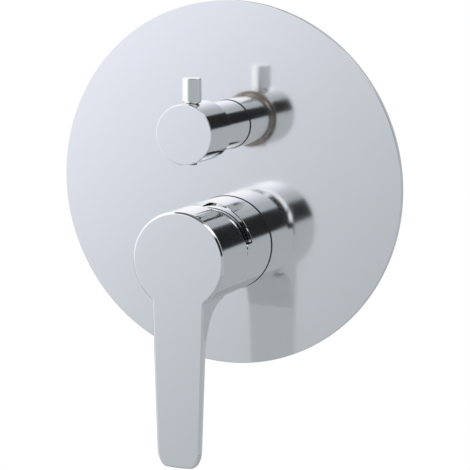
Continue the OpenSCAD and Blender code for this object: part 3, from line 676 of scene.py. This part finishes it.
def makeSleeve(finishes):
    values = diverter
    radius, rear, front = values["sleeveRadius"], values["sleeveRear"], values["sleeveFront"]
    inside, face = values["sleeveBore"], front - values["sleeveFace"]
    outline = roundProfile([(radius, rear), (radius, front), (values["neckBore"], front),
                            (values["neckBore"], face), (inside, face), (inside, rear)],
                           [0.12, values["sleeveEdge"], 0.2, 0, 0.3, 0.1])
    piece = meshObject("diverterSleeve", [(turned(outline, diverterUp), True, True)])
    dress(piece, "diverter_sleeve", "fixed_body", finishes["polishedChrome"])
    print("sleeve made:", len(piece.data.polygons))


def makeKnob(finishes):
    values = diverter
    radius, rear, front, out = values["knobRadius"], values["knobRear"], values["knobFront"], values["pinOut"]
    recessIn, recessOut, recessDepth = values["recess"]
    bore, boreDepth = values["bore"]
    recessEnd, boreEnd = rear + recessDepth, rear + boreDepth
    corners = {(radius, rear): values["knobRearEdge"], (radius, front): values["knobEdge"], (0, front): 0,
               (0, boreEnd): 0, (bore, boreEnd): 0, (bore, rear): 0.1,
               (recessIn, rear): 0.15, (recessIn, recessEnd): 0.2, (recessOut, recessEnd): 0.2,
               (recessOut, rear): 0.15, (values["rearShadeFrom"], rear): 0}
    outline = roundProfile(list(corners), list(corners.values()))
    piece = meshObject("diverterKnob", [(turned(outline, diverterUp), True, True)])
    shankHole = uprightRod(values["shankHole"], values["shankFoot"] - values["shankGap"], radius + cutterOver,
                           out, diverterUp)
    screwHole = uprightRod(values["screwHole"], -radius - cutterOver, values["screwEnd"], out, diverterUp)
    cutAway(piece, [(shankHole, "DIFFERENCE"), (screwHole, "DIFFERENCE")])
    dress(piece, "diverter_knob", "diverter", finishes["polishedChrome"])
    # painted shade on the outer part of the knob's rear face
    paintRearShade(piece.data, finishes["paintedRearShade"])
    print("knob made:", len(piece.data.polygons))


def paintRearShade(mesh, finish):
    # painted shade: the outer part of the knob's rear face gets a dark brownish metal that stands in for the
    # shade under the knob;
    # on the faces that look back there and have no corner nearer to the axis than the radius where that shade
    # starts
    mesh.materials.append(finish)
    place = readMesh(mesh.vertices, "co", 3)
    away = np.hypot(place[:, 0], place[:, 2] - diverterUp * mm) / mm
    corner = readMesh(mesh.loops, "vertex_index", kind=np.int32)[:, 0]
    first = readMesh(mesh.polygons, "loop_start", kind=np.int32)[:, 0]
    nearest = np.minimum.reduceat(away[corner], first)
    rearward = readMesh(mesh.polygons, "normal", 3)[:, 1] > 0.9
    rearmost = readMesh(mesh.polygons, "center", 3)[:, 1] > -(plateFront + diverter["knobRear"] + 0.1) * mm
    shadedRear = rearward & rearmost & (nearest > diverter["rearShadeFrom"] - 0.02)
    mesh.polygons.foreach_set("material_index", shadedRear.astype(np.int32))


def makePin(finishes):
    values = diverter
    radius, foot, top = values["pinRadius"], values["pinFoot"], values["pinTop"]
    shank, shankFoot = values["shankRadius"], values["shankFoot"]
    outline = roundProfile([(0, shankFoot), (shank, shankFoot), (shank, foot),
                            (radius, foot), (radius, top), (0, top)],
                           [0, 0.3, 0, values["pinFootEdge"], values["pinEdge"], 0])
    grid = turnedUpright(outline, values["pinOut"], diverterUp, 128)
    piece = meshObject("diverterPin", [(grid, True, True)])
    dress(piece, "diverter_pin", "diverter", finishes["polishedChrome"])
    print("pin made:", len(piece.data.polygons))


# Turning cap: the skirt with its notch, the dome inside it, and two keys that hold it on the carrier

turningCap = {"radius": 23.4, "low": 0.7, "front": 30.4, "floor": 23.0, "halfAngle": 78.0, "slope": 20.0,
              "foot": 0.3, "edge": 0.14, "rim": 0.6, "gutter": 3.0, "lipRadius": 21.35, "lipFloor": 29.2,
              "dome": 20.8, "domeOut": 21.5, "top": 36.0, "opening": 12.1,
              "inside": [(12.1, 32.8), (17.2, 32.8), (19.46, 27.1), (19.46, 8.0), (21.7, 7.0)],
              "keyFlat": 11.4, "keyRadius": 12.6, "keyRear": 32.9}


def capGrid(angle, inNotch):
    # rows are angles from the top, columns run round the wall as (radius, out). The front edge is level,
    # but slopes down towards the top, out = front - tan(slope) * up, and lies at the notch's floor inside
    # the notch. The dome is a ball round a point on the mixer's axis: r = sqrt(dome^2 - (out - domeOut)^2)
    values = turningCap
    radius, low, foot, edge = values["radius"], values["low"], values["foot"], values["edge"]
    dome, domeOut, top = values["dome"], values["domeOut"], values["top"]
    fall = math.tan(math.radians(values["slope"]))
    insideRadius, insideOut = np.array(values["inside"]).T

    def front(r):
        sloping = values["front"] - fall * np.maximum(0.0, r * np.cos(angle))
        return np.where(inNotch, values["floor"], sloping)

    footTurn, edgeTurn = np.linspace(0.3, math.pi / 2, 4), np.linspace(0.0, math.pi / 2, 6)
    rounded, flat = radius - edge + edge * np.cos(edgeTurn), radius - edge - 0.03
    inner = np.where(inNotch, radius - values["rim"], values["lipRadius"])
    lip = np.minimum(values["lipFloor"], front(dome))
    gutter = np.where(inNotch, values["floor"] - values["gutter"], lip)
    level = np.maximum(np.append(domeOut, np.linspace(domeOut + 0.5, top - 0.2, 26)), gutter)
    ball = np.sqrt(dome * dome - np.maximum(0.0, level - domeOut) ** 2)
    grid = joinStretches([
        (insideRadius[-1], low), (radius - foot, low),
        (radius - foot + foot * np.sin(footTurn), low + foot - foot * np.cos(footTurn)),
        (radius, low + foot + 0.06), (radius, front(radius) - edge - 0.06),
        (rounded, front(rounded) - edge + edge * np.sin(edgeTurn)), (flat, front(flat)),
        (inner, front(inner)), (inner, gutter), (dome, gutter), (ball, level),
        (math.sqrt(dome * dome - (top - domeOut) ** 2) - 0.12, top), (values["opening"], top),
        (insideRadius, insideOut)], len(angle))
    return inRowFrame(grid[..., 0] * np.sin(angle), grid[..., 0] * np.cos(angle), grid[..., 1], mixerUp)


def keyGrids():
    # a key is the part of a disc beyond a flat: the radius runs from flat / cos a to the disc's
    values = turningCap
    reach = math.acos(values["keyFlat"] / values["keyRadius"])
    angle = np.linspace(-reach, reach, 13)[:, None]
    near = np.minimum(values["keyFlat"] / np.cos(angle), values["keyRadius"])
    key = joinStretches([(near, values["keyRear"]), (values["keyRadius"], values["keyRear"]),
                         (values["keyRadius"], values["top"]), (near, values["top"])], len(angle))
    across, up = key[..., 0] * np.cos(angle), key[..., 0] * np.sin(angle)
    return [inRowFrame(side * across, up, key[..., 1], mixerUp) for side in (-1, 1)]


def makeCap(finishes):
    half = math.radians(turningCap["halfAngle"])
    notch, skirt = np.linspace(-half, half, 97), np.linspace(half, 2 * np.pi - half, 129)
    angle = np.concatenate([notch, skirt])[:, None]
    inNotch = (np.arange(len(angle)) < len(notch))[:, None]
    grids = [(capGrid(angle, inNotch), True, True)] + [(key, False, True) for key in keyGrids()]
    piece = meshObject("turningCap", grids, sharpAngle=40.0)
    dress(piece, "turning_cap", "turning_carrier", finishes["polishedChrome"])
    print("turning cap made:", len(piece.data.polygons))


# Lever handle. One grid carries the hub, from its square socket over the hollow inside to the rear
# edge and round to the outer wall; the other carries the face, its bevelled edge and the lever.

leverHandle = {"hub": 23.45, "front": 59.4, "rear": 30.7, "bore": 21.45, "cavity": 54.0, "boss": 8.2,
               "bossRear": 41.0, "socket": 4.05, "socketEnd": 50.2, "reliefUp": 5.8, "reliefSlope": 19.5,
               "rearEdge": 0.14, "boreEdge": 0.2, "hubBevel": 0.9, "leverBevel": 0.6,
               "bevelChange": (14.07, 9.0), "bevelIn": 0.4, "bevelOut": 0.85,
               "backEdge": 0.8, "backEdgeLeast": 0.06, "backEdgeRun": 6.0, "seamRise": 2.6,
               "reach": 100.0, "rootHalf": 13.3, "tipHalf": 11.2, "fillet": 2.5, "rootThick": 4.3,
               "tipThick": 3.3, "sweepDrop": 24.5, "sweepDepth": 19.2, "cornerWide": 5.0, "cornerHigh": 9.4,
               "tipRise": 0.3, "plugOut": 44.0, "plugRadius": 2.6, "plugEnd": -21.3, "screwRadius": 2.1,
               "screwEnd": -2.0}


def filletPlace():
    # centre of the fillet between hub and lever: it touches the hub's circle and the lever's side
    values = leverHandle
    x = values["rootHalf"] + values["fillet"]
    return x, -math.sqrt((values["hub"] + values["fillet"]) ** 2 - x * x)


def backLevel(up):
    # the lever's back: an ellipse out = start + depth sqrt(1 - ((up - centre) / drop)^2) from the hub's
    # underside to the end of the sweep, then straight to the tip. Also gives the direction into the
    # metal, as its parts along up and along out.
    values = leverHandle
    drop, depth = values["sweepDrop"], values["sweepDepth"]
    top = filletPlace()[1]
    centre = top - drop
    share = np.clip((up - centre) / drop, 0.0, 1.0)
    bend = np.sqrt(1 - share * share)
    run = np.maximum(0.0, (centre - up) / (centre + values["reach"]))
    thinner = run * (values["rootThick"] - values["tipThick"])
    level = values["front"] - values["rootThick"] - depth * (1 - bend) + thinner
    steep = np.hypot(share / drop, bend / depth)
    inUp = np.where(up < top, share / drop / steep, 0.0)
    inOut = np.where(up < top, bend / depth / steep, 1.0)
    return level, inUp, inOut


def seamLevel(angle):
    # where the two grids meet on the hub's outer wall, at an angle from the top
    upward = np.cos(angle)
    return backLevel(leverHandle["hub"] * upward)[0] + leverHandle["seamRise"] * np.maximum(0.0, upward)


def leverOutline():
    # right half of the outline from the top of the hub to the middle of the tip:
    # hub circle, fillet, straight side, corner (a quarter of an ellipse) and the shallow curve of the tip
    values = leverHandle
    hub, reach, fillet, drop = values["hub"], values["reach"], values["fillet"], values["sweepDrop"]
    wide, high, rise = values["cornerWide"], values["cornerHigh"], values["tipRise"]
    filletX, filletUp = filletPlace()
    cornerX, cornerUp = values["tipHalf"] - wide, high - reach + rise
    centre = filletUp - drop

    def side(up):
        share = (filletUp - up) / (filletUp - cornerUp)
        return values["rootHalf"] + share * (values["tipHalf"] - values["rootHalf"])

    meet = math.atan2(filletX, filletUp)                          # angle from the top where the fillet starts
    circle = np.unique(np.append(np.linspace(0.0, meet, 60), [math.pi / 4, 3 * math.pi / 4]))
    bend = np.linspace(math.atan2(-filletUp, -filletX), math.pi, 9)[1:]
    under = math.asin((-hub - centre) / drop)                     # where the sweep passes the hub's underside
    sweep = np.append(np.linspace(math.pi / 2, under, 10)[1:], np.linspace(under, 0.0, 16)[1:])
    sweepUp, sideUp = centre + drop * np.sin(sweep), np.linspace(centre, cornerUp, 8)[1:]
    corner, tipX = np.linspace(0.0, math.pi / 2, 22)[1:], np.linspace(cornerX, 0.0, 6)[1:]
    stretches = [(hub * np.sin(circle), hub * np.cos(circle)),
                 (filletX + fillet * np.cos(bend), filletUp + fillet * np.sin(bend)),
                 (side(sweepUp), sweepUp), (side(sideUp), sideUp),
                 (cornerX + wide * np.cos(corner), cornerUp - high * np.sin(corner)),
                 (tipX, -reach + rise * (tipX / cornerX) ** 2)]
    return np.concatenate([np.stack(stretch, axis=1) for stretch in stretches]), len(circle)


def outlineNormals(points):
    # outward normals of the closed outline, from its neighbours on both sides
    along = np.roll(points, -1, axis=0) - np.roll(points, 1, axis=0)
    normal = np.stack([-along[:, 1], along[:, 0]], axis=1)
    return normal / np.linalg.norm(normal, axis=1)[:, None]


def faceGrid(points, circleCount):
    # rows follow the closed outline; columns run from the middle of the face over its bevelled edge and
    # down the side: to the level where the hub's own grid takes over, or round the lever's back edge
    values = leverHandle
    hub, front = values["hub"], values["front"]
    rows, under = len(points), filletPlace()[1]
    x, up = points[:, :1], points[:, 1:]
    normals = outlineNormals(points)
    normalX, normalUp = normals[:, :1], normals[:, 1:]

    def inset(depth, out, lift=0.0):
        # a stretch inside the outline by a depth, square to it
        return x - normalX * depth, up - normalUp * depth + lift, out

    # a bevel at 45 degrees, rounded where it meets the face and where it meets the side; it changes
    # from the hub's to the lever's by the smooth step s^2 (3 - 2 s)
    changeDown, changeRun = values["bevelChange"]
    share = np.clip((-changeDown - up) / changeRun, 0.0, 1.0)
    bevel = values["hubBevel"] + (values["leverBevel"] - values["hubBevel"]) * share * share * (3 - 2 * share)
    inRound, outRound = bevel * values["bevelIn"], bevel * values["bevelOut"]
    inRun, outRun = inRound * math.tan(math.pi / 8), outRound * math.tan(math.pi / 8)
    hold = values["hubBevel"] * 1.2 + 0.12
    near, far = np.linspace(0.0, math.pi / 4, 4), np.linspace(math.pi / 4, math.pi / 2, 5)
    along, diagonal = np.array([0.1, 0.9]), 0.71                  # a run down the slant, measured across it
    slant = (bevel - diagonal * inRun) * (1 - along) + diagonal * outRun * along
    edge = joinStretches([
        (0.0, np.minimum(0.0, up - normalUp * hold), front), inset(hold, front),
        inset(bevel + inRun - inRound * np.sin(near), front - inRound * (1 - np.cos(near))),
        inset(slant, front - bevel + slant),
        inset(outRound * (1 - np.sin(far)), front - bevel - outRun + outRound * np.cos(far)),
        inset(0.0, front - bevel - outRun - 0.1)], rows)

    # the back edge is an arc, hardly rounded beside the hub; the back closes on the hub's circle or,
    # below the hub, on the lever's middle line, and it follows its own level at every inset point
    level, inUp, inOut = backLevel(up)
    circleX = np.sqrt(np.maximum(0.0, hub * hub - up * up))
    beside = np.abs(up) < hub
    bend = np.where(beside, np.minimum(values["backEdge"], (np.abs(x) - circleX) / 2), values["backEdge"])
    least = values["backEdgeLeast"]
    grow = np.minimum(1.0, least + (under - up) / values["backEdgeRun"])
    bend = bend * np.where(up > under - 0.01, least, grow)
    turn = np.linspace(0.0, math.pi / 2, 8)
    depth = bend * (1 - np.sin(turn))
    last = inset(bend + 0.05, level)
    closeX = np.where(beside, np.copysign(circleX, x), 0.0)
    closeUp = np.where(beside, up, np.minimum(last[1], -hub))
    back = joinStretches([inset(0.0, level + inOut * (bend + 0.08), inUp * (bend + 0.08)),
                          inset(bend * (1 - np.cos(turn)), level + inOut * depth, inUp * depth),
                          last, (closeX, closeUp, level)], rows)
    back[..., 2] += np.where(up < under - values["sweepDrop"], backLevel(back[..., 1])[0] - level, 0.0)

    # on the hub's circle all these columns end at the seam instead
    seam = joinStretches([(x, up, seamLevel(np.arctan2(np.abs(x), up)))], rows)
    place = np.minimum(np.arange(rows), rows - np.arange(rows))   # same number on the left and on the right
    grid = np.concatenate([edge, np.where((place < circleCount)[:, None, None], seam, back)], axis=1)
    return inRowFrame(grid[..., 0], grid[..., 1], grid[..., 2], mixerUp)


def hubGrid(angle):
    # rows are angles from the top; columns run as (radius, out) from the socket's ceiling over boss, cavity
    # and bore to the relieved rear edge, out = rear + tan(slope) * (up - start), and up the outer wall
    values = leverHandle
    hub, bore, boss, cavity = values["hub"], values["bore"], values["boss"], values["cavity"]
    edge, boreEdge = values["rearEdge"], values["boreEdge"]
    bossRear, socketEnd = values["bossRear"], values["socketEnd"]
    slope = math.tan(math.radians(values["reliefSlope"]))

    def rear(radius):
        return values["rear"] + slope * np.maximum(0.0, radius * np.cos(angle) - values["reliefUp"])

    square = values["socket"] / np.maximum(np.abs(np.sin(angle)), np.abs(np.cos(angle)))
    turn = np.linspace(0.0, math.pi / 2, 6)
    rounded = hub - edge + edge * np.sin(turn)
    grid = joinStretches([
        (0.0, socketEnd), (square, socketEnd), (square, bossRear), (boss, bossRear), (boss, cavity),
        (bore, cavity), (bore, rear(bore) + boreEdge), (bore + boreEdge, rear(bore + boreEdge)),
        (hub - edge - 0.08, rear(hub - edge)), (rounded, rear(rounded) + edge - edge * np.cos(turn)),
        (hub, rear(hub) + edge + 0.08), (hub, seamLevel(np.minimum(angle, 2 * math.pi - angle)))], len(angle))
    return inRowFrame(grid[..., 0] * np.sin(angle), grid[..., 0] * np.cos(angle), grid[..., 1], mixerUp)


def makeHandle(finishes):
    values = leverHandle
    hub = values["hub"]
    right, circleCount = leverOutline()
    points = np.concatenate([right, right[-2:0:-1] * (-1, 1)])
    circle, besideUp = right[:circleCount], right[circleCount:, 1]
    besideUp = besideUp[besideUp > -hub + 1e-6]
    angle = np.concatenate([np.arctan2(circle[:, 0], circle[:, 1]), np.arccos(besideUp / hub), [math.pi]])
    angle = np.unique(np.round(angle, 9))
    angle = np.append(angle, 2 * math.pi - angle[-2:0:-1])[:, None]
    grids = [(faceGrid(points, circleCount), True, False), (hubGrid(angle), True, False)]
    piece = meshObject("leverHandle", grids, sharpAngle=38.0, weld=4e-6)
    screwHole = uprightRod(values["plugRadius"], -hub - cutterOver, values["plugEnd"], values["plugOut"],
                           mixerUp, thinner=(values["screwRadius"], values["screwEnd"]))
    cutAway(piece, [(screwHole, "DIFFERENCE")])
    dress(piece, "lever_handle", "lever", finishes["polishedChrome"])
    print("lever handle made:", len(piece.data.polygons))


makeCamera()
makeSurroundings()
makeFloor()
finishes = makeFinishes()
dressNodes(finishes)
makePlate(finishes)
makeSleeve(finishes)
makeKnob(finishes)
makePin(finishes)
makeCap(finishes)
makeHandle(finishes)
